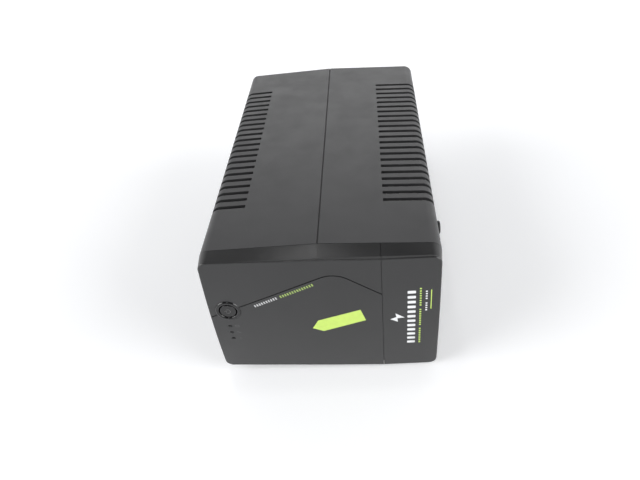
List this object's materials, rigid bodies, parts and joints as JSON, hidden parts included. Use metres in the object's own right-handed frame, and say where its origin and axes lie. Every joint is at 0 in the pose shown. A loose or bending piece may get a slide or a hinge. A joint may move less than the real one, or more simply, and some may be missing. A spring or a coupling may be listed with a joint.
{
  "type": "uninterruptible power supply",
  "caption": "Tower uninterruptible power supply lying on its side: two ribbed half shells, bowed fascia with power button, rear panel with fan and sockets.",
  "frame": {"origin": "centre of the bounding box in X and Y, on the lowest point of the housing as it lies on its side", "axes": "-Y is the front with the power button; +X is the base with the four feet and -X the top of the tower; +Z is the side that faces up as the unit lies. Turned a quarter turn about Y so that +X points down, it stands upright on its feet"},
  "size_m": [0.185, 0.32, 0.1285],
  "materials": {
    "housing": "fine moulded texture",
    "fascia": "satin",
    "rear_plate": "fine moulded texture",
    "button_gloss": "gloss",
    "lens": "smoked translucent",
    "rubber": "matte",
    "zinc_steel": "zinc plated",
    "black_steel": "black oxide",
    "battery_case": "moulded ABS",
    "copper": "enamelled wire",
    "brass": "tinned",
    "lamination": "varnished laminations",
    "board": "solder mask",
    "bobbin": "nylon",
    "aluminium": "extruded",
    "package_black": "epoxy",
    "capacitor": "sleeved",
    "relay_case": "moulded",
    "fuse_glass": "clear",
    "socket_black": "semi-gloss",
    "fan_black": "moulded",
    "wire_red": "PVC",
    "wire_black": "PVC",
    "led": "translucent"
  },
  "bodies": {
    "root": {"top_cover": "housing", "base_tray": "housing", "rear_panel": "rear_plate", "front_panel": "fascia", "base_strip": "fascia", "button_ring": "button_gloss", "power_switch": "package_black", "display_board": "board", "indicator_leds": "led", "indicator_lenses": "lens", "rubber_feet": "rubber", "case_screws": "zinc_steel", "battery_lower": "battery_case", "battery_upper": "battery_case", "battery_terminals": "brass", "battery_link": "wire_red", "battery_lead_red": "wire_red", "battery_lead_black": "wire_black", "battery_strap": "zinc_steel", "strap_screws": "zinc_steel", "transformer_core": "lamination", "transformer_bobbin": "bobbin", "primary_winding": "copper", "secondary_winding": "copper", "transformer_clamp": "zinc_steel", "main_board": "board", "board_spacers": "bobbin", "board_screws": "zinc_steel", "heat_sink_front": "aluminium", "heat_sink_rear": "aluminium", "power_transistors": "package_black", "filter_capacitors": "capacitor", "power_relays": "relay_case", "control_chip": "package_black", "fuse_tube": "fuse_glass", "fuse_clips": "brass", "alarm_buzzer": "package_black", "panel_screws": "black_steel", "outlet_1": "socket_black", "outlet_2": "socket_black", "outlet_3": "socket_black", "outlet_4": "socket_black", "outlet_5": "socket_black", "outlet_6": "socket_black", "outlet_contacts": "brass", "inlet_socket": "socket_black", "inlet_pins": "zinc_steel", "breaker_body": "package_black", "breaker_nut": "black_steel", "surge_jacks": "socket_black", "jack_contacts": "brass", "usb_socket": "zinc_steel", "fan_frame": "fan_black", "fan_stator": "copper", "fan_guard": "zinc_steel", "fan_screws": "zinc_steel"},
    "power_button": {"power_button": "button_gloss", "switch_plunger": "bobbin"},
    "breaker_button": {"breaker_button": "button_gloss"},
    "fan_rotor": {"fan_rotor": "fan_black"}
  },
  "joints": [
    {"name": "power_press", "type": "slide", "parent": "root", "child": "power_button", "axis": [0, 1, 0], "range_m": [0, 0.0012], "stiffness_N_per_m": 900},
    {"name": "breaker_trip", "type": "slide", "parent": "root", "child": "breaker_button", "axis": [0, 1, 0], "range_m": [0, 0.0035]},
    {"name": "fan_spin", "type": "hinge", "parent": "root", "child": "fan_rotor", "pos_m": [-0.045, 0.142, 0.06425], "axis": [0, 1, 0], "continuous": true}
  ]
}
